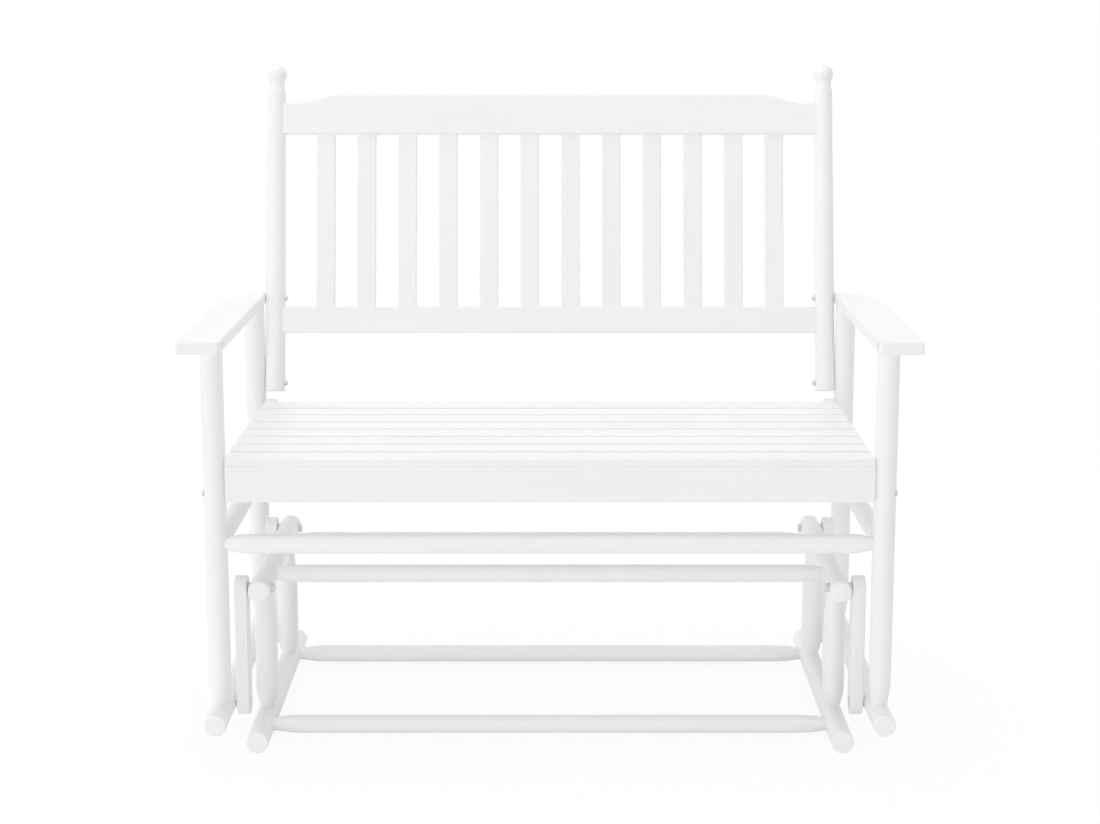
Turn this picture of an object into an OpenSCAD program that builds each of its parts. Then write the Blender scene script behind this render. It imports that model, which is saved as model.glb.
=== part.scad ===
// Glider bench for two: a slatted seat with a leaning back and flat arms, hung on four
// swing bars between the sides of a low floor frame, so that it sways forward and back.
// Millimetres. X runs along the bench, the front faces -Y and Z is up. The origin is on
// the floor, under the middle of the bench's outer box.

/* [Floor frame] */
// Distance between the axes of the left and right rails
base_span = 929; // [700:1:1400]
// Diameter of the four round side rails
base_rail_d = 35; // [32:0.5:42]
// Length of each bottom side rail beyond a turned post's axis
base_foot_end = 135.5; // [110:0.5:180]
// Length of each top side rail, which carries the swing bars
base_top_len = 440; // [430:1:560]
// Distance from a top side rail's end to its pivot
pivot_inset = 28; // [22:0.5:32]
// Height of the top side rails' axes above the floor
base_top_z = 248; // [236:1:290]
// Largest diameter of the four turned posts
base_post_d = 36; // [30:0.5:42]
// Diameter of a turned post at its ends
base_post_end_d = 24; // [18:0.5:26]
// Distance from a pivot to the turned post behind it or ahead of it
post_inset = 50; // [45:0.5:66]
// Length of a turned post's lower taper
base_post_low_taper = 30; // [15:1:45]
// Length of a turned post's upper taper
base_post_high_taper = 75; // [40:1:90]
// Diameter of the cross stretchers of the floor frame
base_stretcher_d = 29; // [24:0.5:32]
// Distance from a turned post out to the stretcher at the floor
low_stretcher_outset = 45; // [34:0.5:70]
// Distance from a turned post in to the stretcher of the top rails
high_stretcher_inset = 36; // [28:0.5:66]

/* [Round joints] */
// Diameter of the narrowed ends of all stretchers
stretcher_end_d = 21; // [14:0.5:23]
// Length over which a floor frame stretcher narrows to its end
base_stretcher_taper = 45; // [20:1:70]
// Length over which a seat stretcher narrows to its end
seat_stretcher_taper = 35; // [20:1:60]
// Depth that round ends reach into the rails
rail_socket = 18; // [12:0.5:20]
// Depth that stretcher ends reach into the seat's legs
leg_socket = 7; // [5:0.5:8]

/* [Swing bars] */
// Width of a swing bar, seen from the side
bar_w = 40; // [30:1:46]
// Thickness of a swing bar
bar_t = 20; // [16:0.5:28]
// Rounding of a swing bar's long edges
bar_edge_r = 3; // [1:0.5:5]
// Distance between a bar's top and bottom pivots
bar_pivot_len = 191; // [150:1:196]
// Free width beside a swing bar on each side
bar_side_gap = 2.5; // [1.5:0.1:6]

/* [Seat frame] */
// Diameter of the seat's round bottom rails
runner_d = 35; // [32:0.5:42]
// Length of the seat's bottom rails beyond the legs' axes
runner_end = 65; // [40:1:110]
// Diameter of the four legs
leg_d = 35; // [32:0.5:42]
// Diameter of a leg's bottom end
leg_end_d = 26; // [18:0.5:28]
// Length over which a leg narrows at the bottom
leg_taper = 40; // [15:1:70]
// Distance of a leg's axis beyond the pivot beside it
leg_outset = 54; // [50:0.5:78]
// Diameter of the seat stretchers
seat_stretcher_d = 31; // [24:0.5:32]
// Height of the front and rear seat stretchers
cross_stretcher_z = 335; // [320:1:370]
// Height of the stretchers between front and rear legs
side_stretcher_z = 332; // [320:1:370]
// Height of the top of the seat
seat_top_z = 474; // [460:1:478]
// Height of the front and rear seat rails
seat_rail_h = 57; // [45:1:65]
// Thickness of the boards that frame the seat
seat_board_t = 20; // [16:0.5:24]
// Distance of a seat rail's outer face beyond its legs' axes
seat_rail_lead = 13.5; // [10:0.5:16]
// Rounding of the edges of the seat's boards
board_edge_r = 1.5; // [0.5:0.5:4]
// Thickness of a seat slat
seat_slat_t = 12; // [10:0.5:18]
// Gap between seat slats
seat_slat_gap = 8.5; // [4:0.5:14]
// Gap between the last seat slat and the back posts
slat_back_gap = 8; // [4:0.5:16]

/* [Arms] */
// Height of the arms' underside
arm_under_z = 641; // [600:1:680]
// Width of an arm
arm_w = 67.5; // [60:0.5:90]
// Thickness of an arm
arm_t = 20; // [18:0.5:26]
// Distance of an arm's front end ahead of its leg's axis
arm_nose = 32.5; // [25:0.5:50]
// Distance of an arm's rear end behind its leg's axis, at the inner edge
arm_tail = 42.5; // [36:0.5:60]
// Distance by which the slanting rear end shortens the outer edge
arm_cut = 74; // [50:1:84]
// Rounding of an arm's outer rear corner
arm_rear_r = 25; // [8:1:30]
// Rounding of an arm's front corners
arm_front_r = 4; // [2:0.5:12]
// Rounding of an arm's edges
arm_edge_r = 3; // [1:0.5:5]
// Diameter of the tenon on top of a leg
arm_tenon_d = 16; // [10:0.5:18]
// Length of the tenon on top of a leg
arm_tenon_len = 12; // [8:0.5:14]

/* [Back] */
// Lean of the back from upright, in degrees
recline = 12.3; // [8:0.1:15]
// Height of the bolt through the foot of a back post
back_foot_z = 503; // [500:1:510]
// Distance of that bolt ahead of the rear leg's axis
back_foot_lead = 5.5; // [0:0.5:6]
// Length of a back post below that bolt
back_post_below = 15; // [10:0.5:18]
// Largest diameter of a back post
back_post_d = 35; // [30:0.5:38]
// Diameter of a back post beside the crest rail
back_post_top_d = 32; // [28:0.5:35]
// Diameter of the neck under the finial
neck_d = 27.5; // [20:0.5:30]
// Length over which a back post narrows to the neck
neck_taper = 21; // [14:1:28]
// Diameter of the finial
finial_d = 36; // [31:0.5:46]
// Height of the finial
finial_h = 34; // [24:0.5:40]
// Distance along the lean from the arms' bolts down to the lower back rail
low_rail_drop = 16.5; // [12:0.5:20]
// Height of the lower back rail
low_rail_h = 46; // [35:1:60]
// Distance along the lean from the foot bolt to the crest rail
crest_up = 445; // [400:1:480]
// Height of the crest rail in its middle
crest_h = 70.5; // [60:0.5:80]
// Height of the crest rail at its ends
crest_end_h = 55.5; // [40:0.5:58]
// Width of the crest rail's raised middle
crest_flat_w = 782; // [500:1:840]
// Width of each of the crest rail's sloping shoulders
crest_shoulder_w = 58; // [20:1:60]
// Distance from the crest rail's top up to the finial's neck
crest_to_neck = 21; // [20:1:60]
// Thickness of both back rails
back_rail_t = 20; // [16:0.5:24]
// Distance that the back rails stop short of the posts' axes
back_rail_short = 7; // [3:0.5:9]
// Width of a back slat
back_slat_w = 33; // [20:0.5:42]
// Thickness of a back slat
back_slat_t = 12; // [8:0.5:14]
// Clear width between a back post and the nearest slat
back_slat_margin = 55.5; // [40:0.5:80]
// Depth that the back slats reach into the rails
back_slat_tenon = 10; // [6:0.5:14]

/* [Hardware] */
// Diameter of the pivot bolts
pivot_bolt_d = 8; // [6:0.5:10]
// Diameter of a pivot bolt's head
pivot_head_d = 14; // [12:0.5:15]
// Height of a pivot bolt's head
pivot_head_h = 4.4; // [3:0.1:5]
// Depth of the recess for that head in a swing bar
head_recess = 6; // [5.6:0.1:7]
// Wall thickness of the bushes in the swing bars
bush_wall = 2; // [1.5:0.1:3]
// Outer diameter of the spacers beside the swing bars
spacer_d = 17; // [14:0.5:20]
// Diameter of the spot faces that seat spacers and nuts
spot_d = 18.5; // [17.5:0.5:22]
// Depth at which the bottom pivots' nuts lie in the seat's bottom rails
low_nut_depth = 8.5; // [4:0.5:10]
// Width across the flats of a pivot nut
nut_flats = 13; // [11:0.5:15]
// Diameter of a pivot nut's flange
nut_flange_d = 17; // [14:0.5:17]
// Thickness of a pivot nut's flange
nut_flange_h = 1.6; // [1:0.1:2.5]
// Height of a pivot nut above its flange
nut_h = 6.4; // [5:0.1:8]
// Diameter of the joint bolts in the wood
joint_bolt_d = 6; // [5:0.5:6.5]
// Diameter of a joint bolt's head
joint_head_d = 11; // [9:0.5:12]
// Height of a joint bolt's head
joint_head_h = 3.3; // [2.6:0.1:4]
// Diameter of the taller heads in the back posts
back_head_d = 10; // [9:0.5:12]
// Height of the taller heads in the back posts
back_head_h = 6; // [3:0.1:6.5]
// Height of the seat rail bolts above the rail's underside
seat_bolt_up = 13; // [10:0.5:20]
// Length of a seat rail bolt beyond the leg
seat_bolt_reach = 40; // [30:1:60]
// Diameter of the barrel nuts in the seat rails
barrel_d = 10; // [9:0.5:12]
// Length of a barrel nut
barrel_len = 14; // [10:0.5:15]
// Length of a back bolt beyond the back post
back_bolt_reach = 11; // [8:0.5:13]
// Diameter of the screws in the arms' inner edges
arm_screw_d = 5; // [4:0.5:6]
// Diameter of an arm screw's head
arm_screw_head_d = 11; // [8:0.5:12]
// Height of an arm screw's head
arm_screw_head_h = 2.5; // [2:0.1:3]
// Length of an arm screw's shank
arm_screw_len = 30; // [26:1:36]

/* [Clearances] */
// Gap round a glued tenon or slat end
glue_gap = 0.1; // [0.05:0.05:0.2]
// Gap between boards and round legs that meet side by side
touch_gap = 0.1; // [0.05:0.05:0.2]
// Radial gap of a fixed bolt in its hole
bolt_gap = 0.25; // [0.1:0.05:0.5]
// Radial gap of a pivot bolt in its bush
running_gap = 0.08; // [0.05:0.01:0.1]
// Radial gap of the three lower pivots that only follow the fourth
follower_gap = 0.3; // [0.2:0.05:0.5]
// Gap between a swing bar and what it turns against
slide_gap = 0.3; // [0.2:0.05:0.5]

/* [Hidden] */
$fn = 64;
paint = [0.96, 0.96, 0.95];
zinc = [0.66, 0.67, 0.69];
bush_plastic = [0.82, 0.82, 0.80];
ARC_STEPS = 4;
EASE_STEPS = 8;
SEAT_SLATS = 8;
BACK_SLATS = 12;
// Cutters reach this far past the faces that they open
past = 1;
// A spot face goes this much deeper than its rim needs
spot_extra = 0.5;
LEFT = -1;
RIGHT = 1;
FRONT = -1;
REAR = 1;
CORNERS = [for (side = [LEFT, RIGHT]) for (end = [FRONT, REAR]) [side, end]];

// Places across the bench
base_x = base_span / 2;
bar_in_x = base_x + max(base_rail_d, base_post_d) / 2 + bar_side_gap;
bar_out_x = bar_in_x + bar_t;
seat_x = bar_out_x + bar_side_gap + max(runner_d, leg_d) / 2;
leg_in_x = seat_x - leg_d / 2;
leg_out_x = seat_x + leg_d / 2;
board_end_x = leg_in_x - touch_gap;
back_post_x = leg_in_x - touch_gap - back_post_d / 2;
back_rail_end_x = back_post_x - back_rail_short;

// Places from front to back, measured from the middle of the floor frame
pivot_y = base_top_len / 2 - pivot_inset;
base_post_y = pivot_y - post_inset;
base_foot_len = 2 * (base_post_y + base_foot_end);
low_stretcher_y = base_post_y + low_stretcher_outset;
high_stretcher_y = base_post_y - high_stretcher_inset;
leg_y = pivot_y + leg_outset;
runner_len = 2 * (leg_y + runner_end);
seat_rail_out_y = leg_y + seat_rail_lead;
seat_rail_in_y = seat_rail_out_y - seat_board_t;
seat_rail_mid_y = seat_rail_out_y - seat_board_t / 2;
back_foot_y = leg_y - back_foot_lead;
back_front_y = back_foot_y - (back_foot_z - seat_top_z) * tan(recline) - back_post_d / 2 / cos(recline);
seat_slat_rear_y = back_front_y - slat_back_gap;
seat_slat_w = (seat_slat_rear_y + seat_rail_out_y - (SEAT_SLATS - 1) * seat_slat_gap) / SEAT_SLATS;

// Heights
runner_z = base_top_z - bar_pivot_len;
slat_under_z = seat_top_z - seat_slat_t;
seat_rail_z = slat_under_z - seat_rail_h;
seat_bolt_z = seat_rail_z + seat_bolt_up;
arm_mid_z = arm_under_z + arm_t / 2;

// Distances up the leaning back, from the bolt at its foot
arm_bolt_up = (arm_mid_z - back_foot_z) / cos(recline);
low_rail_up = arm_bolt_up - low_rail_drop - low_rail_h;
neck_up = crest_up + crest_h + crest_to_neck;
finial_mid_up = neck_up + finial_h / 2;

// Depth of a spot face that is cut a little below where its rim meets a round rail
function spot_depth(rail_d, cut_d) = rail_d / 2 - sqrt(pow(rail_d / 2, 2) - pow(cut_d / 2, 2)) + spot_extra;
base_spot = spot_depth(base_rail_d, spot_d);
runner_spot = spot_depth(runner_d, spot_d);
joint_spot_d = joint_head_d + 2;
joint_spot = spot_depth(leg_d, joint_spot_d);
post_spot = spot_depth(back_post_d, joint_spot_d);

// The origin lies under the middle of the outer box, from the bottom rails' front ends
// to the backs of the finials
finial_rear_y = back_foot_y + finial_mid_up * sin(recline)
    + norm([finial_d / 2 * cos(recline), finial_h / 2 * sin(recline)]);
front_y = -max(runner_len / 2, base_foot_len / 2, leg_y + arm_nose);
middle_y = (front_y + finial_rear_y) / 2;

// Points of an arc about a centre
function arc(centre, r, from, to) = [
    for (i = [0:ARC_STEPS])
        let (a = from + (to - from) * i / ARC_STEPS)
            centre + r * [cos(a), sin(a)]
];

// Outline of a rectangle with rounded corners, about its middle
function rounded_rect(w, h, r) = concat(
    arc([w / 2 - r, h / 2 - r], r, 0, 90),
    arc([r - w / 2, h / 2 - r], r, 90, 180),
    arc([r - w / 2, r - h / 2], r, 180, 270),
    arc([w / 2 - r, r - h / 2], r, 270, 360)
);

// Radius and height points of a turned taper that leaves r0 steeply and eases into r1
function taper(r0, r1, z0, z1) = [
    for (i = [0:EASE_STEPS])
        let (t = i / EASE_STEPS)
            [r0 + (r1 - r0) * sin(90 * t), z0 + (z1 - z0) * t]
];

// Everything is drawn about the middle of the floor frame and then moved to the origin
module placed() {
    translate([0, -middle_y, 0]) children();
}

// The right side is drawn, and the left side is its mirror image
module on_side(side) {
    if (side == LEFT) mirror([1, 0, 0]) children();
    else children();
}

// A round rod along X
module along_x() {
    rotate([0, 90, 0]) children();
}

// A round rod along Y
module along_y() {
    rotate([-90, 0, 0]) children();
}

// The leaning frame of the back: its origin is the foot bolt, and up is along the posts
module leaned() {
    translate([0, back_foot_y, back_foot_z]) rotate([-recline, 0, 0]) children();
}

// Rod along Z about its middle, with softened ends
module plain_rod(d, len, end_r) {
    rotate_extrude() polygon(concat(
        [[0, -len / 2]],
        arc([d / 2 - end_r, end_r - len / 2], end_r, -90, 0),
        arc([d / 2 - end_r, len / 2 - end_r], end_r, 0, 90),
        [[0, len / 2]]
    ));
}

// Rod along Z about its middle that narrows to its ends; the last tip is straight
module stretcher(d, len, taper_len, tip) {
    low = taper(stretcher_end_d / 2, d / 2, tip - len / 2, tip + taper_len - len / 2);
    high = [for (i = [len(low) - 1:-1:0]) [low[i][0], -low[i][1]]];
    rotate_extrude() polygon(concat(
        [[0, -len / 2], [stretcher_end_d / 2, -len / 2]],
        low,
        high,
        [[stretcher_end_d / 2, len / 2], [0, len / 2]]
    ));
}

// Hole for the narrowed end of a stretcher, along +Z from the given depth
module stretcher_hole(depth) {
    translate([0, 0, -depth]) cylinder(d = stretcher_end_d + 2 * glue_gap, h = depth + base_rail_d);
}

// Board along X about its middle, with softened long edges
module board_x(len, w, t, r) {
    rotate([90, 0, 90]) linear_extrude(len, center = true) polygon(rounded_rect(w, t, r));
}

// Board along Y about its middle, with softened long edges
module board_y(len, w, t, r) {
    rotate([90, 0, 0]) linear_extrude(len, center = true) polygon(rounded_rect(w, t, r));
}

// Bolt with a low round head; the head's seat is at z = 0 and the shank points down
module bolt(d, len, head_d, head_h) {
    crown = head_h / 3;
    translate([0, 0, -len]) cylinder(d = d, h = len + head_h / 2);
    difference() {
        union() {
            cylinder(d = head_d, h = head_h - crown);
            translate([0, 0, head_h - crown]) cylinder(d1 = head_d, d2 = head_d * 0.7, h = crown);
        }
        translate([0, 0, head_h / 2]) cylinder(d = d * 0.7, h = head_h, $fn = 6);
    }
}

// Hexagon nut on a flange; the flange's seat is at z = 0
module flange_nut() {
    across_corners = nut_flats / cos(30);
    difference() {
        union() {
            cylinder(d = nut_flange_d, h = nut_flange_h);
            cylinder(d = across_corners, h = nut_flange_h + nut_h, $fn = 6);
        }
        translate([0, 0, -past])
            cylinder(d = pivot_bolt_d + 2 * glue_gap, h = nut_flange_h + nut_h + 2 * past);
    }
}

// Pivot holes through a round side rail, with spot faces of the given depths on both sides
module pivot_holes(rail_x, rail_z, rail_d, outer_depth, inner_depth) {
    for (end = [FRONT, REAR]) translate([rail_x, end * pivot_y, rail_z]) along_x() {
        cylinder(d = pivot_bolt_d + 2 * bolt_gap, h = rail_d + 2 * past, center = true);
        for (face = [[0, outer_depth], [180, inner_depth]]) rotate([face[0], 0, 0])
            translate([0, 0, rail_d / 2 - face[1]]) cylinder(d = spot_d, h = face[1] + past);
    }
}

// Floor frame

module base_bottom_rail(side) {
    color(paint) placed() on_side(side) difference() {
        translate([base_x, 0, base_rail_d / 2]) along_y() plain_rod(base_rail_d, base_foot_len, 2);
        for (end = [FRONT, REAR]) {
            translate([base_x, end * base_post_y, base_rail_d - rail_socket - glue_gap])
                cylinder(d = base_post_end_d + 2 * glue_gap, h = base_rail_d);
            translate([base_x - base_rail_d / 2, end * low_stretcher_y, base_rail_d / 2])
                rotate([0, -90, 0]) stretcher_hole(rail_socket + glue_gap);
        }
    }
}

module base_top_rail(side) {
    color(paint) placed() on_side(side) difference() {
        translate([base_x, 0, base_top_z]) along_y() plain_rod(base_rail_d, base_top_len, 4);
        for (end = [FRONT, REAR]) {
            translate([base_x, end * base_post_y, base_top_z - 3 * base_rail_d / 2 + rail_socket + glue_gap])
                cylinder(d = base_post_end_d + 2 * glue_gap, h = base_rail_d);
            translate([base_x - base_rail_d / 2, end * high_stretcher_y, base_top_z])
                rotate([0, -90, 0]) stretcher_hole(rail_socket + glue_gap);
        }
        pivot_holes(base_x, base_top_z, base_rail_d, base_spot, base_spot);
    }
}

module base_post(side, end) {
    low_z = base_rail_d - rail_socket;
    high_z = base_top_z - base_rail_d / 2 + rail_socket;
    end_r = base_post_end_d / 2;
    low = taper(end_r, base_post_d / 2, base_rail_d, base_rail_d + base_post_low_taper);
    top_z = base_top_z - base_rail_d / 2;
    high = taper(end_r, base_post_d / 2, top_z, top_z - base_post_high_taper);
    color(paint) placed() on_side(side) translate([base_x, end * base_post_y, 0])
        rotate_extrude() polygon(concat(
            [[0, low_z], [end_r, low_z]],
            low,
            [for (i = [len(high) - 1:-1:0]) high[i]],
            [[end_r, high_z], [0, high_z]]
        ));
}

module base_stretcher(y, z) {
    reach = base_span - base_rail_d + 2 * rail_socket;
    color(paint) placed() translate([0, y, z]) along_x()
        stretcher(base_stretcher_d, reach, base_stretcher_taper, rail_socket);
}

// Swing bars and their pivots

// A bar lies flat in the plane of its swing: rounded ends about both pivots
module swing_bar(side, end) {
    bush_hole = pivot_bolt_d + 2 * bush_wall + 2 * glue_gap;
    color(paint) placed() on_side(side) difference() {
        translate([(bar_in_x + bar_out_x) / 2, end * pivot_y, 0]) union() {
            for (z = [base_top_z, runner_z])
                translate([0, 0, z]) along_x() plain_rod(bar_w, bar_t, bar_edge_r);
            translate([0, 0, runner_z]) linear_extrude(bar_pivot_len)
                polygon(rounded_rect(bar_t, bar_w, bar_edge_r));
        }
        for (z = [base_top_z, runner_z]) translate([bar_in_x - past, end * pivot_y, z])
            along_x() cylinder(d = bush_hole, h = bar_t + 2 * past);
        translate([bar_out_x - head_recess, end * pivot_y, base_top_z])
            along_x() cylinder(d = spot_d, h = head_recess + past);
        translate([bar_in_x - past, end * pivot_y, runner_z])
            along_x() cylinder(d = spot_d, h = head_recess + past);
    }
}

// Two bushes in one bar, which stop at the recesses for the bolt heads
module bushes(side, end) {
    follows = !(side == LEFT && end == FRONT);
    low_gap = follows ? follower_gap : running_gap;
    bush_len = bar_t - head_recess;
    color(bush_plastic) placed() on_side(side) {
        translate([bar_in_x, end * pivot_y, base_top_z]) bush(bush_len, running_gap);
        translate([bar_in_x + head_recess, end * pivot_y, runner_z]) bush(bush_len, low_gap);
    }
}

module bush(len, gap) {
    along_x() difference() {
        cylinder(d = pivot_bolt_d + 2 * bush_wall, h = len);
        translate([0, 0, -past]) cylinder(d = pivot_bolt_d + 2 * gap, h = len + 2 * past);
    }
}

// The head lies in the bar's outer recess and the nut on the rail's inner spot face
module top_pivot_bolts() {
    seat = bar_out_x - head_recess + slide_gap;
    tip = base_x - base_rail_d / 2 + base_spot - nut_flange_h - nut_h;
    color(zinc) placed() for (c = CORNERS) on_side(c[0])
        translate([seat, c[1] * pivot_y, base_top_z]) along_x()
            bolt(pivot_bolt_d, seat - tip, pivot_head_d, pivot_head_h);
}

module top_pivot_spacers() {
    low = base_x + base_rail_d / 2 - base_spot;
    color(zinc) placed() for (c = CORNERS) on_side(c[0])
        translate([low, c[1] * pivot_y, base_top_z]) spacer(bar_in_x - slide_gap - low);
}

module top_pivot_nuts() {
    color(zinc) placed() for (c = CORNERS) on_side(c[0])
        translate([base_x - base_rail_d / 2 + base_spot, c[1] * pivot_y, base_top_z])
            rotate([0, -90, 0]) flange_nut();
}

// The head lies in the bar's inner recess and the nut in the bottom rail's deeper outer recess
module bottom_pivot_bolts() {
    seat = bar_in_x + head_recess - slide_gap;
    tip = seat_x + runner_d / 2 - low_nut_depth + nut_flange_h + nut_h;
    color(zinc) placed() for (c = CORNERS) on_side(c[0])
        translate([seat, c[1] * pivot_y, runner_z]) rotate([0, -90, 0])
            bolt(pivot_bolt_d, tip - seat, pivot_head_d, pivot_head_h);
}

module bottom_pivot_spacers() {
    low = bar_out_x + slide_gap;
    color(zinc) placed() for (c = CORNERS) on_side(c[0])
        translate([low, c[1] * pivot_y, runner_z]) spacer(seat_x - runner_d / 2 + runner_spot - low);
}

module bottom_pivot_nuts() {
    color(zinc) placed() for (c = CORNERS) on_side(c[0])
        translate([seat_x + runner_d / 2 - low_nut_depth, c[1] * pivot_y, runner_z])
            along_x() flange_nut();
}

module spacer(len) {
    along_x() difference() {
        cylinder(d = spacer_d, h = len);
        translate([0, 0, -past]) cylinder(d = pivot_bolt_d + 2 * glue_gap, h = len + 2 * past);
    }
}

// Seat frame

module seat_bottom_rail(side) {
    color(paint) placed() on_side(side) difference() {
        translate([seat_x, 0, runner_z]) along_y() plain_rod(runner_d, runner_len, 2);
        for (end = [FRONT, REAR])
            translate([seat_x, end * leg_y, runner_z + runner_d / 2 - rail_socket - glue_gap])
                cylinder(d = leg_end_d + 2 * glue_gap, h = runner_d);
        pivot_holes(seat_x, runner_z, runner_d, low_nut_depth, runner_spot);
    }
}

module leg(side, end) {
    foot_z = runner_z + runner_d / 2;
    low_z = foot_z - rail_socket;
    end_r = leg_end_d / 2;
    tenon_r = arm_tenon_d / 2;
    tenon_z = arm_under_z + arm_tenon_len;
    color(paint) placed() on_side(side) difference() {
        translate([seat_x, end * leg_y, 0]) rotate_extrude() polygon(concat(
            [[0, low_z], [end_r, low_z]],
            taper(end_r, leg_d / 2, foot_z, foot_z + leg_taper),
            [[leg_d / 2, arm_under_z], [tenon_r, arm_under_z], [tenon_r, tenon_z], [0, tenon_z]]
        ));
        translate([leg_in_x, end * leg_y, cross_stretcher_z])
            rotate([0, -90, 0]) stretcher_hole(leg_socket + glue_gap);
        translate([seat_x, end * (leg_y - leg_d / 2), side_stretcher_z])
            rotate([end * 90, 0, 0]) stretcher_hole(leg_socket + glue_gap);
        seat_bolt_hole(end);
        if (end == REAR) back_bolt_holes();
        if (end == FRONT) arm_screw_hole();
    }
}

module side_stretcher(side) {
    reach = 2 * leg_y - leg_d + 2 * leg_socket;
    color(paint) placed() on_side(side) translate([seat_x, 0, side_stretcher_z]) along_y()
        stretcher(seat_stretcher_d, reach, seat_stretcher_taper, leg_socket);
}

module seat_stretcher(end) {
    reach = 2 * leg_in_x + 2 * leg_socket;
    color(paint) placed() translate([0, end * leg_y, cross_stretcher_z]) along_x()
        stretcher(seat_stretcher_d, reach, seat_stretcher_taper, leg_socket);
}

// Front and rear rails of the seat, bolted between the legs
module seat_rail(end) {
    color(paint) placed() difference() {
        translate([0, end * seat_rail_mid_y, seat_rail_z + seat_rail_h / 2])
            board_x(2 * board_end_x, seat_board_t, seat_rail_h, board_edge_r);
        for (side = [LEFT, RIGHT]) on_side(side) {
            seat_bolt_hole(end);
            barrel_hole(end);
        }
    }
}

// The boards under the slats' ends rise behind the last slat, level with the seat's top
module seat_side_board(side) {
    heel_y = seat_slat_rear_y + touch_gap;
    color(paint) placed() on_side(side) {
        translate([board_end_x - seat_board_t / 2, 0, seat_rail_z + seat_rail_h / 2])
            board_y(2 * seat_rail_in_y, seat_board_t, seat_rail_h, board_edge_r);
        translate([board_end_x - seat_board_t, heel_y, slat_under_z - 2 * board_edge_r])
            cube([seat_board_t, seat_rail_in_y - heel_y, seat_slat_t + 2 * board_edge_r]);
    }
}

module middle_bearer() {
    color(paint) placed() translate([0, 0, seat_rail_z + seat_rail_h / 2])
        board_y(2 * seat_rail_in_y, seat_board_t, seat_rail_h, board_edge_r);
}

module seat_slat(i) {
    y = (i + 0.5) * seat_slat_w + i * seat_slat_gap - seat_rail_out_y;
    color(paint) placed() translate([0, y, seat_top_z - seat_slat_t / 2])
        board_x(2 * board_end_x, seat_slat_w, seat_slat_t, board_edge_r);
}

// Arms

// Plan of an arm from above, with its inner front corner at the leg's inner face
function arm_plan() =
    let (front = -leg_y - arm_nose,
         rear = leg_y + arm_tail,
         out_x = leg_in_x + arm_w,
         slant = atan(arm_cut / arm_w),
         bend = arm_rear_r * tan((90 - slant) / 2),
         corner = [out_x - arm_rear_r, rear - arm_cut - bend])
    concat(
        arc([out_x - arm_front_r, front + arm_front_r], arm_front_r, -90, 0),
        arc(corner, arm_rear_r, 0, 90 - slant),
        [[leg_in_x, rear]],
        arc([leg_in_x + arm_front_r, front + arm_front_r], arm_front_r, 180, 270)
    );

module arm(side) {
    arm_len = 2 * leg_y + arm_nose + arm_tail;
    mid_y = (arm_tail - arm_nose) / 2;
    color(paint) placed() on_side(side) difference() {
        intersection() {
            translate([0, 0, arm_under_z]) linear_extrude(arm_t) polygon(arm_plan());
            translate([leg_in_x + arm_w / 2, mid_y, arm_mid_z]) board_y(arm_len, arm_w, arm_t, arm_edge_r);
            translate([leg_in_x + arm_w / 2, mid_y, arm_mid_z]) board_x(arm_w, arm_len, arm_t, arm_edge_r);
        }
        for (end = [FRONT, REAR]) translate([seat_x, end * leg_y, arm_under_z - past])
            cylinder(d = arm_tenon_d + 2 * glue_gap, h = arm_tenon_len + glue_gap + past);
        back_bolt_holes();
        arm_screw_hole();
    }
}

// Back

module back_post(side) {
    base_r = back_post_d / 2;
    top_r = back_post_top_d / 2;
    neck_r = neck_d / 2;
    // The knob is an ellipse that starts where it is as wide as the neck
    start = asin(neck_d / finial_d);
    knob = [for (i = [0:2 * EASE_STEPS])
        let (a = 180 - start - (180 - start) * i / (2 * EASE_STEPS))
            [finial_d / 2 * sin(a), finial_mid_up + finial_h / 2 * cos(a)]];
    color(paint) placed() on_side(side) difference() {
        leaned() difference() {
            translate([back_post_x, 0, 0]) rotate_extrude() polygon(concat(
                [[0, -back_post_below], [base_r - 1, -back_post_below], [base_r, 1 - back_post_below]],
                [[base_r, low_rail_up + low_rail_h], [top_r, crest_up]],
                [for (i = [0:EASE_STEPS])
                    let (t = i / EASE_STEPS, r = top_r + (neck_r - top_r) * (1 - cos(180 * t)) / 2)
                        [r, neck_up - neck_taper * (1 - t)]],
                knob
            ));
            rail_housing(low_rail_up, low_rail_h);
            rail_housing(crest_up, crest_end_h);
        }
        back_bolt_holes();
    }
}

// Pocket in a back post for the end of a back rail
module rail_housing(up, h) {
    translate([back_post_x - back_post_d, -back_rail_t / 2 - glue_gap, up - glue_gap])
        cube([back_post_d - back_rail_short + glue_gap, back_rail_t + 2 * glue_gap, h + 2 * glue_gap]);
}

// Pockets in a back rail for the ends of the back slats, from the given height upwards
module slat_pockets(up) {
    w = back_slat_w + 2 * glue_gap;
    t = back_slat_t + 2 * glue_gap;
    for (x = slat_places())
        translate([x - w / 2, -t / 2, up]) cube([w, t, back_slat_tenon + glue_gap + past]);
}

// Middles of the back slats across the bench
function slat_places() =
    let (half = back_post_x - back_post_d / 2 - back_slat_margin - back_slat_w / 2)
    [for (i = [0:BACK_SLATS - 1]) half * (2 * i / (BACK_SLATS - 1) - 1)];

// The raised middle falls to the ends in a shoulder on each side, which starts at a corner and eases out
module crest_rail() {
    flat_x = crest_flat_w / 2;
    shoulder = [for (i = [0:EASE_STEPS])
        let (t = i / EASE_STEPS)
            [flat_x + crest_shoulder_w * t, crest_h - (crest_h - crest_end_h) * (t + sin(90 * t)) / 2]];
    half = concat(shoulder, [[back_rail_end_x, crest_end_h], [back_rail_end_x, 0]]);
    color(paint) placed() leaned() difference() {
        translate([0, back_rail_t / 2, crest_up]) rotate([90, 0, 0]) linear_extrude(back_rail_t)
            polygon(concat(half, [for (i = [len(half) - 1:-1:0]) [-half[i][0], half[i][1]]]));
        slat_pockets(crest_up - past);
    }
}

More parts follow.
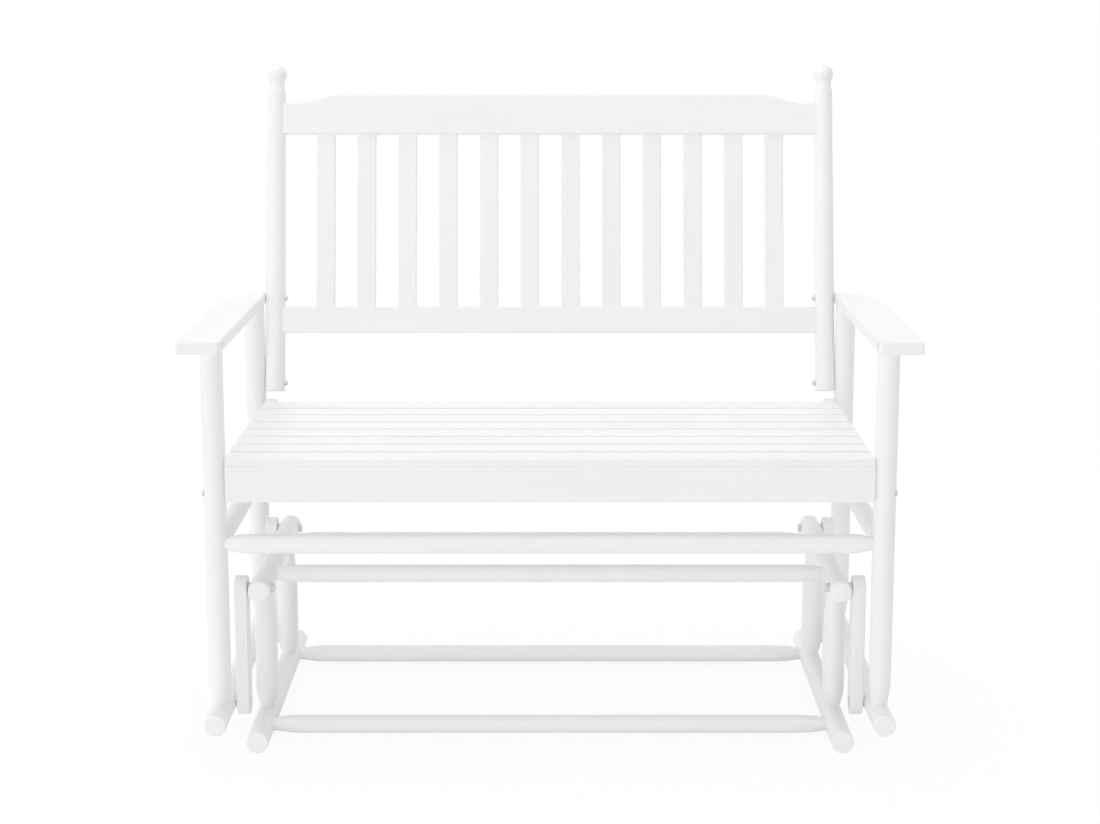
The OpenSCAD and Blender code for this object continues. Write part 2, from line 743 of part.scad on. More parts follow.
module lower_back_rail() {
    color(paint) placed() leaned() difference() {
        translate([0, 0, low_rail_up + low_rail_h / 2])
            board_x(2 * back_rail_end_x, back_rail_t, low_rail_h, board_edge_r);
        slat_pockets(low_rail_up + low_rail_h - back_slat_tenon - glue_gap);
    }
}

module back_slats() {
    low = low_rail_up + low_rail_h - back_slat_tenon;
    high = crest_up + back_slat_tenon;
    color(paint) placed() leaned() for (x = slat_places())
        translate([x, 0, low]) linear_extrude(high - low)
            polygon(rounded_rect(back_slat_w, back_slat_t, board_edge_r));
}

// Joint hardware, drawn for the right side

// Bolt from the outside of a leg into the end of a seat rail
module seat_bolt_place(end) {
    translate([leg_out_x - joint_spot, end * seat_rail_mid_y, seat_bolt_z]) along_x() children();
}

module seat_bolt_hole(end) {
    seat_bolt_place(end) {
        cylinder(d = joint_spot_d, h = leg_d);
        translate([0, 0, -leg_d - seat_bolt_reach])
            cylinder(d = joint_bolt_d + 2 * bolt_gap, h = 2 * leg_d + seat_bolt_reach);
    }
}

module seat_rail_bolts() {
    color(zinc) placed() for (c = CORNERS) on_side(c[0]) seat_bolt_place(c[1])
        bolt(joint_bolt_d, leg_d - joint_spot + seat_bolt_reach, joint_head_d, joint_head_h);
}

// A barrel nut lies across the seat rail, open to the rail's inner face
module barrel_place(end) {
    translate([leg_in_x - seat_bolt_reach + barrel_d, end * seat_rail_mid_y, seat_bolt_z]) children();
}

module barrel_hole(end) {
    barrel_place(end) rotate([end * 90, 0, 0])
        translate([0, 0, -barrel_len / 2 - glue_gap])
            cylinder(d = barrel_d + 2 * glue_gap, h = barrel_len + seat_board_t);
}

module barrel_nuts() {
    color(zinc) placed() for (c = CORNERS) on_side(c[0]) barrel_place(c[1]) difference() {
        along_y() cylinder(d = barrel_d, h = barrel_len, center = true);
        along_x() cylinder(d = joint_bolt_d + 2 * glue_gap, h = 2 * barrel_d, center = true);
    }
}

// Bolts from the inside of a back post into the rear leg and into the end of the arm
module back_bolt_places() {
    for (up = [0, arm_bolt_up])
        translate([back_post_x - back_post_d / 2 + post_spot,
                back_foot_y + up * sin(recline), back_foot_z + up * cos(recline)])
            rotate([0, -90, 0]) children();
}

module back_bolt_holes() {
    reach = back_post_d + back_bolt_reach;
    back_bolt_places() {
        cylinder(d = joint_spot_d, h = back_post_d);
        translate([0, 0, -reach]) cylinder(d = joint_bolt_d + 2 * bolt_gap, h = reach + past);
    }
}

module back_bolts() {
    color(zinc) placed() for (side = [LEFT, RIGHT]) on_side(side) back_bolt_places()
        bolt(joint_bolt_d, back_post_d - post_spot + back_bolt_reach, back_head_d, back_head_h);
}

// Screw from an arm's inner edge through the front leg's tenon, its head flush
module arm_screw_place() {
    translate([leg_in_x + arm_screw_head_h, -leg_y, arm_mid_z]) rotate([0, -90, 0]) children();
}

module arm_screw_hole() {
    arm_screw_place() {
        cylinder(d = arm_screw_head_d + 2 * bolt_gap, h = arm_w);
        translate([0, 0, -arm_screw_len - bolt_gap])
            cylinder(d = arm_screw_d + 2 * bolt_gap, h = arm_screw_len + arm_w);
    }
}

module arm_screws() {
    color(zinc) placed() for (side = [LEFT, RIGHT]) on_side(side) arm_screw_place()
        bolt(arm_screw_d, arm_screw_len, arm_screw_head_d, arm_screw_head_h);
}

base_bottom_rail(LEFT);  // base_bottom_rail_left
base_bottom_rail(RIGHT);  // base_bottom_rail_right
base_top_rail(LEFT);  // base_top_rail_left
base_top_rail(RIGHT);  // base_top_rail_right
base_post(LEFT, FRONT);  // base_post_front_left
base_post(RIGHT, FRONT);  // base_post_front_right
base_post(LEFT, REAR);  // base_post_rear_left
base_post(RIGHT, REAR);  // base_post_rear_right
base_stretcher(-low_stretcher_y, base_rail_d / 2);  // base_low_stretcher_front
base_stretcher(low_stretcher_y, base_rail_d / 2);  // base_low_stretcher_rear
base_stretcher(-high_stretcher_y, base_top_z);  // base_high_stretcher_front
base_stretcher(high_stretcher_y, base_top_z);  // base_high_stretcher_rear
top_pivot_bolts();
top_pivot_spacers();
top_pivot_nuts();
swing_bar(LEFT, FRONT);  // swing_bar_front_left
swing_bar(RIGHT, FRONT);  // swing_bar_front_right
swing_bar(LEFT, REAR);  // swing_bar_rear_left
swing_bar(RIGHT, REAR);  // swing_bar_rear_right
bushes(LEFT, FRONT);  // bushes_front_left
bushes(RIGHT, FRONT);  // bushes_front_right
bushes(LEFT, REAR);  // bushes_rear_left
bushes(RIGHT, REAR);  // bushes_rear_right
seat_bottom_rail(LEFT);  // seat_bottom_rail_left
seat_bottom_rail(RIGHT);  // seat_bottom_rail_right
leg(LEFT, FRONT);  // leg_front_left
leg(RIGHT, FRONT);  // leg_front_right
leg(LEFT, REAR);  // leg_rear_left
leg(RIGHT, REAR);  // leg_rear_right
side_stretcher(LEFT);  // side_stretcher_left
side_stretcher(RIGHT);  // side_stretcher_right
seat_stretcher(FRONT);  // seat_stretcher_front
seat_stretcher(REAR);  // seat_stretcher_rear
seat_rail(FRONT);  // seat_rail_front
seat_rail(REAR);  // seat_rail_rear
seat_side_board(LEFT);  // seat_side_board_left
seat_side_board(RIGHT);  // seat_side_board_right
middle_bearer();
seat_slat(0);  // seat_slat_1
seat_slat(1);  // seat_slat_2
seat_slat(2);  // seat_slat_3
seat_slat(3);  // seat_slat_4
seat_slat(4);  // seat_slat_5
seat_slat(5);  // seat_slat_6
seat_slat(6);  // seat_slat_7
seat_slat(7);  // seat_slat_8
arm(LEFT);  // arm_left
arm(RIGHT);  // arm_right
back_post(LEFT);  // back_post_left
back_post(RIGHT);  // back_post_right
crest_rail();
lower_back_rail();
back_slats();
bottom_pivot_bolts();
bottom_pivot_spacers();
bottom_pivot_nuts();
seat_rail_bolts();
barrel_nuts();
back_bolts();
arm_screws();
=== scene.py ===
"""Looks of a two-seat glider bench: satin white paint on hardwood, with zinc plated bolts in the joints."""

import math

import bmesh
import bpy
from mathutils import Matrix, Vector


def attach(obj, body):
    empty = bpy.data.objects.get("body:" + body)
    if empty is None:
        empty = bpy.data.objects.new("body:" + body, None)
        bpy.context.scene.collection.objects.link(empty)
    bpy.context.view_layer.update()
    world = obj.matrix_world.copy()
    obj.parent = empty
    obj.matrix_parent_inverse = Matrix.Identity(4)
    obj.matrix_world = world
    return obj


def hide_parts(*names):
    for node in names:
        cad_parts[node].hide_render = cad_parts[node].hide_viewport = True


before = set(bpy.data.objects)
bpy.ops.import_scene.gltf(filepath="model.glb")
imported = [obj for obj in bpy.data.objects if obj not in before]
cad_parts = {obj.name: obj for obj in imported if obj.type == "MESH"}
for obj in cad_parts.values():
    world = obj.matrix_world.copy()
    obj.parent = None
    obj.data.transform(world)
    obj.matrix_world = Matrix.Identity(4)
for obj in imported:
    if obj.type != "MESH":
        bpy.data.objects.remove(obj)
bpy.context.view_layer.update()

# Sizes are in millimetres, from the middle of the floor frame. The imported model's middle lies this far
# behind it
MIDDLE_Y = 32.6873

# Middles of the floor frame's rails, of the swing bars, and of the seat's rails and legs, with the
# radius of a rail and half the width of a bar
BASE_X = 464.5
BAR_X = 495
SEAT_X = 525
RAIL_R = 17.5
BAR_HALF_WIDE = 20

# Pivots, and the flat seats of their spacers, nuts and bolts
PIVOT_Y = 192
BASE_TOP_Z = 248
RUNNER_Z = 57
BASE_OUTER_SEAT_X = 478.86
BASE_INNER_SEAT_X = 450.14
RUNNER_INNER_SEAT_X = 510.644
RUNNER_OUTER_SEAT_X = 534
TOP_BOLT_SEAT_X = 499.3
BOTTOM_BOLT_SEAT_X = 490.7
PIVOT_SPOT_R = 9.25

# Turned rods: the radius at their middle, and at an end the radius, the straight length and the taper
BASE_STRETCHER_R = 14.5
SEAT_STRETCHER_R = 15.5
POST_R = 18
BASE_STRETCHER_END = (10.5, 18, 45)
SEAT_STRETCHER_END = (10.5, 7, 35)
POST_FOOT = (12, 18, 30)
POST_TOP = (12, 18, 75)
LEG_FOOT = (13, 18, 40)

# Legs, boards and arms of the seat. The side boards have a raised heel behind the slats
LEG_Y = 246
SEAT_RAIL_Y = 249.5
BOARD_END_X = 507.4
BOARD_T = 20
BOARD_H = 57
BOARD_Z = 433.5
SIDE_BOARD_HALF = 239.5
HEEL_Y = 208.4
HEEL_TOP = 40.5
ARM_Z = 651

# Slats of the seat and the back
SEAT_SLATS = 8
SEAT_SLAT_WIDE = 51.033
SEAT_SLAT_GAP = 8.5
SEAT_FRONT_Y = -259.5
BACK_SLATS = 12
SLAT_T = 12

# Bolts of the seat and the back
SEAT_BOLT_X = 540.75
SEAT_BOLT_Z = 418
BACK_BOLT_X = 474.15
BOLT_SPOT_R = 6.5

# The back leans. Distances along it count up from the bolts at the feet of its posts
BACK_POST_X = 489.9
BACK_FOOT = (240.5, 503)
RECLINE = math.radians(12.3)
ARM_BOLT_UP = 151.48
BACK_RAIL_END_X = 482.9
CREST_HALF = 35.25
SHOULDER_X = 391
SHOULDER_WIDE = 58
SHOULDER_DROP = 15

SIDES = {"left": -1, "right": 1}
ENDS = {"front": -1, "rear": 1}
ALONG_X = Vector((1, 0, 0))
ALONG_Y = Vector((0, 1, 0))
ALONG_Z = Vector((0, 0, 1))
UP_BACK = Vector((0, math.sin(RECLINE), math.cos(RECLINE)))
CORNERS = [(sx, sy) for sx in SIDES.values() for sy in ENDS.values()]


def at(x, y, z):
    """A point of the bench in metres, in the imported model's frame."""
    return Vector((x, y - MIDDLE_Y, z)) / 1000


def on_back(x, up):
    """A point on the leaning back, up along the posts from the bolt at their feet."""
    y = BACK_FOOT[0] + up * math.sin(RECLINE)
    z = BACK_FOOT[1] + up * math.cos(RECLINE)
    return at(x, y, z)


def linear(code):
    """An sRGB hex colour as linear light, with full alpha."""
    parts = [int(code[i:i + 2], 16) / 255 for i in (1, 3, 5)]
    return [p / 12.92 if p < 0.04045 else ((p + 0.055) / 1.055) ** 2.4 for p in parts] + [1]


def add(tree, kind, settings=None, feeds=None):
    """Adds a node. Settings are its options; feeds are values or other nodes' outputs for its inputs."""
    node = tree.nodes.new(kind)
    for name, value in (settings or {}).items():
        setattr(node, name, value)
    for name, value in (feeds or {}).items():
        if isinstance(value, bpy.types.NodeSocket):
            tree.links.new(value, node.inputs[name])
        else:
            node.inputs[name].default_value = value
    return node


# Materials. Inputs 6 and 7 of a Mix node are its two colours, and its output 2 is the mixed one


def new_material(name):
    """An empty material, its node tree, and its principled shader joined to the output."""
    material = bpy.data.materials.new(name)
    material.use_nodes = True
    tree = material.node_tree
    tree.nodes.clear()
    shader = add(tree, "ShaderNodeBsdfPrincipled")
    add(tree, "ShaderNodeOutputMaterial", feeds={"Surface": shader.outputs["BSDF"]})
    return material, tree, shader


def satin_white_enamel(grain, lean=0.0):
    """Solid hardwood under two brushed coats of satin enamel. The paint hides the colour of the wood, but
    its pores and the brush marks still run along the grain and break up the sheen."""
    material, tree, shader = new_material("satin_white_enamel_" + grain)
    place = add(tree, "ShaderNodeTexCoord")

    def stretched(across, along, detail, rough):
        """Noise in real sizes: millimetres across the grain and along it."""
        size = [across / 1000] * 3
        size["xyz".index(grain[0])] = along / 1000
        fit = add(tree, "ShaderNodeMapping", {"vector_type": "TEXTURE"}, {
            "Vector": place.outputs["Object"], "Rotation": (-lean, 0, 0), "Scale": size})
        return add(tree, "ShaderNodeTexNoise", {"noise_dimensions": "3D"}, {
            "Vector": fit.outputs["Vector"], "Scale": 1.0, "Detail": detail, "Roughness": rough})

    # Real pores are 0.3 mm wide, and are drawn 1.4 mm wide so that they show
    pores = stretched(across=1.4, along=55, detail=3, rough=0.6)
    brushed = stretched(across=2.6, along=240, detail=1, rough=0.5)
    clouds = stretched(across=70, along=320, detail=2, rough=0.5)
    tone = add(tree, "ShaderNodeValToRGB", feeds={"Fac": clouds.outputs["Fac"]})
    tone.color_ramp.elements[0].position = 0.3
    tone.color_ramp.elements[0].color = linear("#EEEEEE")
    tone.color_ramp.elements[1].position = 0.7
    tone.color_ramp.elements[1].color = linear("#F1F1F1")
    pore = add(tree, "ShaderNodeMapRange", feeds={
        "Value": pores.outputs["Fac"], "From Min": 0.6, "From Max": 0.78, "To Min": 0.0, "To Max": 0.22})
    colour = add(tree, "ShaderNodeMix", {"data_type": "RGBA"}, {
        "Factor": pore.outputs["Result"], 6: tone.outputs["Color"], 7: linear("#D6D6D6")})
    gloss = add(tree, "ShaderNodeMapRange", feeds={
        "Value": brushed.outputs["Fac"], "From Min": 0.3, "From Max": 0.7, "To Min": 0.36, "To Max": 0.46})
    marks = add(tree, "ShaderNodeBump", feeds={
        "Strength": 0.35, "Distance": 0.0004, "Height": brushed.outputs["Fac"]})
    relief = add(tree, "ShaderNodeBump", {"invert": True}, {
        "Strength": 0.3, "Distance": 0.0003, "Height": pore.outputs["Result"],
        "Normal": marks.outputs["Normal"]})
    shader.inputs["IOR"].default_value = 1.5
    tree.links.new(colour.outputs[2], shader.inputs["Base Color"])
    tree.links.new(gloss.outputs["Result"], shader.inputs["Roughness"])
    tree.links.new(relief.outputs["Normal"], shader.inputs["Normal"])
    return material


def fine_gritted(name, colour, shade, metallic, rough, speck):
    """A smooth hard surface in two close shades, broken up by a fine grit of the given size in
    millimetres."""
    material, tree, shader = new_material(name)
    place = add(tree, "ShaderNodeTexCoord")
    grit = add(tree, "ShaderNodeTexNoise", feeds={
        "Vector": place.outputs["Object"], "Scale": 1000 / speck, "Detail": 2.0})
    tone = add(tree, "ShaderNodeMix", {"data_type": "RGBA"}, {
        "Factor": grit.outputs["Fac"], 6: linear(colour), 7: linear(shade)})
    gloss = add(tree, "ShaderNodeMapRange", feeds={
        "Value": grit.outputs["Fac"], "From Min": 0.3, "From Max": 0.7,
        "To Min": rough - 0.06, "To Max": rough + 0.08})
    relief = add(tree, "ShaderNodeBump", feeds={
        "Strength": 0.25, "Distance": 0.0001, "Height": grit.outputs["Fac"]})
    shader.inputs["Metallic"].default_value = metallic
    tree.links.new(tone.outputs[2], shader.inputs["Base Color"])
    tree.links.new(gloss.outputs["Result"], shader.inputs["Roughness"])
    tree.links.new(relief.outputs["Normal"], shader.inputs["Normal"])
    return material


# The paint for each direction of the grain
PAINT = {
    "x": satin_white_enamel("x"),
    "y": satin_white_enamel("y"),
    "z": satin_white_enamel("z"),
    "z_leaning": satin_white_enamel("z_leaning", RECLINE),
}
# Zinc plate on steel is a cool grey metal with soft, blurred reflections
ZINC = fine_gritted("zinc_plated_steel", "#E2E4E6", "#CCD0D3", metallic=1.0, rough=0.4, speck=0.5)
# Cast nylon is milky and slightly waxy
NYLON = fine_gritted("natural_nylon", "#E4E0D4", "#D9D4C6", metallic=0.0, rough=0.45, speck=0.9)


# Geometry Nodes


def new_tree(name, inputs):
    """A node tree with named inputs, its input node, and a function that ends it."""
    tree = bpy.data.node_groups.new(name, "GeometryNodeTree")
    for label, kind in inputs.items():
        tree.interface.new_socket(label, in_out="INPUT", socket_type="NodeSocket" + kind)
    tree.interface.new_socket("Geometry", in_out="OUTPUT", socket_type="NodeSocketGeometry")
    given = tree.nodes.new("NodeGroupInput").outputs

    def end(result):
        """Makes the result real and paints it."""
        real = add(tree, "GeometryNodeRealizeInstances", feeds={"Geometry": result})
        painted = add(tree, "GeometryNodeSetMaterial", feeds={
            "Geometry": real.outputs["Geometry"], "Material": given["Finish"]})
        add(tree, "NodeGroupOutput", feeds={"Geometry": painted.outputs["Geometry"]})

    return tree, given, end


def turned_rod_tree():
    """A rod turned between two points. It is straight for a tip at each end, swells over a taper to its
    middle radius, and has rounded edges. Its rings crowd towards the ends, where the shape changes."""
    tree, given, end = new_tree("turned_rod", {
        "Start": "Vector", "End": "Vector", "Middle radius": "Float",
        "Start radius": "Float", "Start tip": "Float", "Start taper": "Float",
        "End radius": "Float", "End tip": "Float", "End taper": "Float",
        "Edge rounding": "Float", "Rings": "Int", "Sides": "Int", "Finish": "Material"})

    def calc(operation, *feeds):
        """The result of one step of arithmetic."""
        return add(tree, "ShaderNodeMath", {"operation": operation}, dict(enumerate(feeds))).outputs[0]

    def swell(distance, which):
        """Radius at a distance from one end: a quarter of a sine wave over the taper."""
        past_tip = calc("SUBTRACT", distance, given[which + " tip"])
        part = add(tree, "ShaderNodeMapRange", feeds={
            "Value": past_tip, "From Min": 0.0, "From Max": given[which + " taper"],
            "To Min": 0.0, "To Max": math.pi / 2}).outputs["Result"]
        growth = calc("SUBTRACT", given["Middle radius"], given[which + " radius"])
        return calc("MULTIPLY_ADD", growth, calc("SINE", part), given[which + " radius"])

    line = add(tree, "GeometryNodeCurvePrimitiveLine", feeds={
        "Start": given["Start"], "End": given["End"]})
    rings = add(tree, "GeometryNodeResampleCurve", feeds={
        "Curve": line.outputs["Curve"], "Count": given["Rings"]})
    index = add(tree, "GeometryNodeInputIndex").outputs["Index"]
    turn = calc("DIVIDE", calc("MULTIPLY", index, math.pi), calc("SUBTRACT", given["Rings"], 1.0))
    share = calc("MULTIPLY_ADD", calc("COSINE", turn), -0.5, 0.5)
    reach = add(tree, "ShaderNodeVectorMath", {"operation": "SUBTRACT"}, {
        0: given["End"], 1: given["Start"]}).outputs["Vector"]
    step = add(tree, "ShaderNodeVectorMath", {"operation": "SCALE"}, {0: reach, "Scale": share})
    spot = add(tree, "ShaderNodeVectorMath", {"operation": "ADD"}, {
        0: given["Start"], 1: step.outputs["Vector"]})
    placed = add(tree, "GeometryNodeSetPosition", feeds={
        "Geometry": rings.outputs["Curve"], "Position": spot.outputs["Vector"]})
    length = add(tree, "ShaderNodeVectorMath", {"operation": "LENGTH"}, {0: reach}).outputs["Value"]
    from_start = calc("MULTIPLY", share, length)
    from_end = calc("SUBTRACT", length, from_start)
    radius = calc("MINIMUM", swell(from_start, "Start"), swell(from_end, "End"))
    edge = given["Edge rounding"]
    inward = calc("SUBTRACT", edge, calc("MINIMUM", calc("MINIMUM", from_start, from_end), edge))
    bulge = calc("SQRT", calc("SUBTRACT", calc("POWER", edge, 2.0), calc("POWER", inward, 2.0)))
    radius = calc("ADD", calc("SUBTRACT", radius, edge), bulge)
    round_section = add(tree, "GeometryNodeCurvePrimitiveCircle", feeds={
        "Resolution": given["Sides"], "Radius": 1.0})
    skin = add(tree, "GeometryNodeCurveToMesh", feeds={
        "Curve": placed.outputs["Geometry"], "Profile Curve": round_section.outputs["Curve"],
        "Scale": radius, "Fill Caps": True})
    # Only the two ends have more than four corners. A comparison of whole numbers takes inputs 2 and 3
    corners = add(tree, "GeometryNodeInputMeshFaceNeighbors")
    on_side = add(tree, "FunctionNodeCompare", {"data_type": "INT", "operation": "LESS_EQUAL"}, {
        2: corners.outputs["Vertex Count"], 3: 4})
    smooth = add(tree, "GeometryNodeSetShadeSmooth", feeds={
        "Geometry": skin.outputs["Mesh"], "Shade Smooth": on_side.outputs["Result"]})
    end(smooth.outputs["Geometry"])
    return tree


def row_tree():
    """Copies of one slat in a row, a fixed step apart."""
    tree, given, end = new_tree("row_of_slats", {
        "Slat": "Geometry", "Count": "Int", "Step": "Vector", "Finish": "Material"})
    places = add(tree, "GeometryNodeMeshLine", feeds={"Count": given["Count"], "Offset": given["Step"]})
    copies = add(tree, "GeometryNodeInstanceOnPoints", feeds={
        "Points": places.outputs["Mesh"], "Instance": given["Slat"]})
    end(copies.outputs["Instances"])
    return tree


def hardware_tree():
    """One bolt, nut or spacer at each given place. It faces away from the middle of the bench, or towards
    it with a turn of half a circle."""
    tree, given, end = new_tree("hardware_on_places", {
        "Places": "Geometry", "Piece": "Object", "Turn": "Float", "Finish": "Material"})
    piece = add(tree, "GeometryNodeObjectInfo", feeds={"Object": given["Piece"]})
    here = add(tree, "GeometryNodeInputPosition")
    x = add(tree, "ShaderNodeSeparateXYZ", feeds={"Vector": here.outputs["Position"]}).outputs["X"]
    left = add(tree, "ShaderNodeMath", {"operation": "LESS_THAN"}, {0: x, 1: 0.0}).outputs[0]
    turn = add(tree, "ShaderNodeMath", {"operation": "MULTIPLY_ADD"}, {
        0: left, 1: math.pi, 2: given["Turn"]})
    facing = add(tree, "ShaderNodeCombineXYZ", feeds={"Z": turn.outputs[0]})
    copies = add(tree, "GeometryNodeInstanceOnPoints", feeds={
        "Points": given["Places"], "Instance": piece.outputs["Geometry"],
        "Rotation": facing.outputs["Vector"]})
    end(copies.outputs["Instances"])
    return tree


TURNED_ROD = turned_rod_tree()
ROW = row_tree()
HARDWARE = hardware_tree()


# Making and finishing meshes


def put(name, mesh):
    """A new object of the scene, at the origin."""
    thing = bpy.data.objects.new(name, mesh)
    bpy.context.scene.collection.objects.link(thing)
    return thing


def drop(thing):
    """Takes a helper out of the scene."""
    bpy.data.objects.remove(thing)


def flatten(thing):
    """Replaces a piece's mesh and modifiers by the plain mesh that they give."""
    bpy.context.view_layer.update()
    shape = thing.evaluated_get(bpy.context.evaluated_depsgraph_get())
    mesh = bpy.data.meshes.new_from_object(shape)
    thing.modifiers.clear()
    thing.data = mesh
    return thing


def grow(name, tree, sizes, start=None):
    """Runs a tree with the given sizes, and keeps the result as a plain mesh."""
    thing = put(name, start or bpy.data.meshes.new(name))
    tool = thing.modifiers.new(tree.name, "NODES")
    tool.node_group = tree
    sockets = {s.name: s.identifier for s in tree.interface.items_tree if s.in_out == "INPUT"}
    for label, value in sizes.items():
        tool[sockets[label]] = value
    return flatten(thing)


def faces_outwards(mesh):
    """Turns all faces of a closed mesh outwards."""
    shape = bmesh.new()
    shape.from_mesh(mesh)
    bmesh.ops.recalc_face_normals(shape, faces=shape.faces)
    shape.to_mesh(mesh)
    shape.free()


def closed_mesh(name, points, faces):
    """A closed mesh with its faces outwards. Its first two faces are flat ends, and the others smooth."""
    mesh = bpy.data.meshes.new(name)
    mesh.from_pydata([tuple(p) for p in points], [], faces)
    for face in mesh.polygons:
        face.use_smooth = face.index > 1
    faces_outwards(mesh)
    return mesh


def rod(name, start, end, radius, finish, low=None, high=None, edge=0.0, rings=96, sides=56):
    """A turned rod. Low and high are the radius, tip and taper at its start and its end, where it narrows
    there."""
    sizes = {"Start": start, "End": end, "Middle radius": radius / 1000, "Edge rounding": edge / 1000,
             "Rings": rings, "Sides": sides, "Finish": finish}
    for which, narrow in (("Start", low), ("End", high)):
        for part, value in zip(("radius", "tip", "taper"), narrow or (radius, 0, 1)):
            sizes[f"{which} {part}"] = value / 1000
    return grow(name, TURNED_ROD, sizes)


def bore(thing, cuts):
    """Cuts round holes through a piece. Each cut is two points of the bench and a radius in
    millimetres."""
    cutters = []
    for i, (start, end, radius) in enumerate(cuts):
        cutters.append(rod(f"cut_{i}", start, end, radius, None, rings=2, sides=48))
    for cutter in cutters:
        tool = thing.modifiers.new("cut", "BOOLEAN")
        tool.operation = "DIFFERENCE"
        tool.solver = "EXACT"
        tool.object = cutter
    flatten(thing)
    for cutter in cutters:
        drop(cutter)
    thing.data.set_sharp_from_angle(angle=math.radians(35))
    return thing


def outline(corners, steps=5):
    """Corners of a board, counter-clockwise, each with its radius, as a smooth run of points."""
    points = []
    for i, (x, y, radius) in enumerate(corners):
        here = Vector((x, y))
        if radius == 0:
            points.append(here)
            continue
        before = (Vector(corners[i - 1][:2]) - here).normalized()
        after = (Vector(corners[(i + 1) % len(corners)][:2]) - here).normalized()
        half = before.angle(after) / 2
        middle = here + (before + after).normalized() * radius / math.sin(half)
        first = (before * radius / math.tan(half) + here) - middle
        last = (after * radius / math.tan(half) + here) - middle
        for k in range(steps + 1):
            points.append(middle + first.lerp(last, k / steps).normalized() * radius)
    return points


def inset(points, depth):
    """The outline moved inwards by a depth, square to its edges. The limit keeps sharp corners near."""
    moved = []
    for i, here in enumerate(points):
        before = (here - points[i - 1]).normalized()
        after = (points[(i + 1) % len(points)] - here).normalized()
        inwards = Vector((-before.y - after.y, before.x + after.x)).normalized()
        moved.append(here + inwards * depth / max(0.3, inwards.dot(Vector((-before.y, before.x)))))
    return moved


def ring_faces(rings, sides):
    """Faces of a closed run of rings: its two ends, and then the strips between neighbouring rings."""
    faces = [list(range(sides)), [(rings - 1) * sides + k for k in range(sides)]]
    for ring in range(rings - 1):
        low = ring * sides
        high = low + sides
        for k in range(sides):
            after = (k + 1) % sides
            faces.append([low + k, low + after, high + after, high + k])
    return faces


def board(name, points, thick, edge, middle, across, up, finish):
    """A board of the given outline about its middle, which runs along two directions of the bench. All
    its edges are rounded in four steps."""
    edge_steps = 4
    across, up = across.normalized(), up.normalized()
    out = across.cross(up)
    layers = []
    for k in range(edge_steps + 1):
        angle = math.pi / 2 * k / edge_steps
        layers.append((edge * (1 - math.sin(angle)), -thick / 2 + edge * (1 - math.cos(angle))))
    layers += [(depth, -height) for depth, height in reversed(layers)]
    rings = []
    for depth, height in layers:
        for p in inset(points, depth):
            rings.append(middle + (across * p.x + up * p.y + out * height) / 1000)
    thing = put(name, closed_mesh(name, rings, ring_faces(len(layers), len(points))))
    thing.data.materials.append(finish)
    return thing


def even_normals(thing):
    """Lets the large faces set the shading, so that flat sides look flat beside their rounded edges."""
    tool = thing.modifiers.new("even", "WEIGHTED_NORMAL")
    tool.keep_sharp = True
    tool.weight = 80
    return flatten(thing)


def box_outline(wide, high, radius=2.5):
    """A rectangle about its middle, with small round corners."""
    x, y = wide / 2, high / 2
    return outline([(-x, -y, radius), (x, -y, radius), (x, y, radius), (-x, y, radius)])


def spun(name, rings, sides=48):
    """A piece turned about X, from its rings of height and radius. A third number makes the ring a
    hexagon, whose corners reach no further than that."""
    points = []
    for height, radius, *flats in rings:
        for k in range(sides):
            angle = 2 * math.pi * k / sides
            reach = radius
            if flats:
                reach = radius / math.cos((angle + math.pi / 6) % (math.pi / 3) - math.pi / 6)
                reach = min(reach, flats[0])
            points.append(Vector((height, reach * math.cos(angle), reach * math.sin(angle))) / 1000)
    thing = put(name, closed_mesh(name, points, ring_faces(len(rings), sides)))
    thing.data.set_sharp_from_angle(angle=math.radians(32))
    return thing


def bolt(shank_r, length, head_r, head_h):
    """A low button head with a hexagon socket. Its seat is at the origin and its head faces +X."""
    socket = shank_r * 0.62
    rings = [(-length, shank_r - 0.5), (0.5 - length, shank_r), (0, shank_r),
             (0, head_r - 0.2), (0.2, head_r)]
    for k in range(7):
        angle = math.pi / 2 * k / 7
        rings.append((0.3 * head_h + 0.7 * head_h * math.sin(angle),
                      head_r * (0.62 + 0.38 * math.cos(angle))))
    rings += [(head_h, socket * 1.3), (head_h - 0.25, socket, 99), (head_h * 0.35, socket, 99)]
    return spun("bolt", rings)


def flange_nut():
    """A hexagon nut on a round flange, which faces +X from its seat at the origin. The bolt fills its
    bore."""
    rings = [(0, 4.1), (0, 8.3), (0.2, 8.5), (1.2, 8.5), (1.6, 8.2), (2.1, 6.5, 7.55), (7.2, 6.5, 7.55),
             (8, 6.5, 6.6), (8, 4.9), (7.5, 4.2), (7.3, 4.1)]
    return spun("nut", rings)


def spacer(length):
    """A round spacer with softened edges, from the origin towards +X. The bolt fills its bore."""
    return spun("spacer", [(0, 8.1), (0.4, 8.5), (length - 0.4, 8.5), (length, 8.1)])


def hardware(name, body, piece, places, node, turn=0.0):
    """Sets one piece at all its places as a single mesh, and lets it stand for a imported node."""
    start = bpy.data.meshes.new(name)
    start.from_pydata([tuple(p) for p in places], [], [])
    thing = grow(name, HARDWARE, {"Piece": piece, "Turn": turn, "Finish": ZINC}, start)
    drop(piece)
    belongs(thing, body, [node])


def belongs(thing, body, nodes):
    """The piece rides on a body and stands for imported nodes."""
    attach(thing, body)
    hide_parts(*nodes)


def wood(thing, body, *nodes):
    """A finished piece of painted wood."""
    belongs(thing, body, nodes)


def spots(places, radius):
    """Cuts for flat spot faces in a round rod. Each place is a seat and the direction that it looks in,
    and the cut reaches 30 mm that way."""
    return [(seat, seat + direction * 0.03, radius) for seat, direction in places]


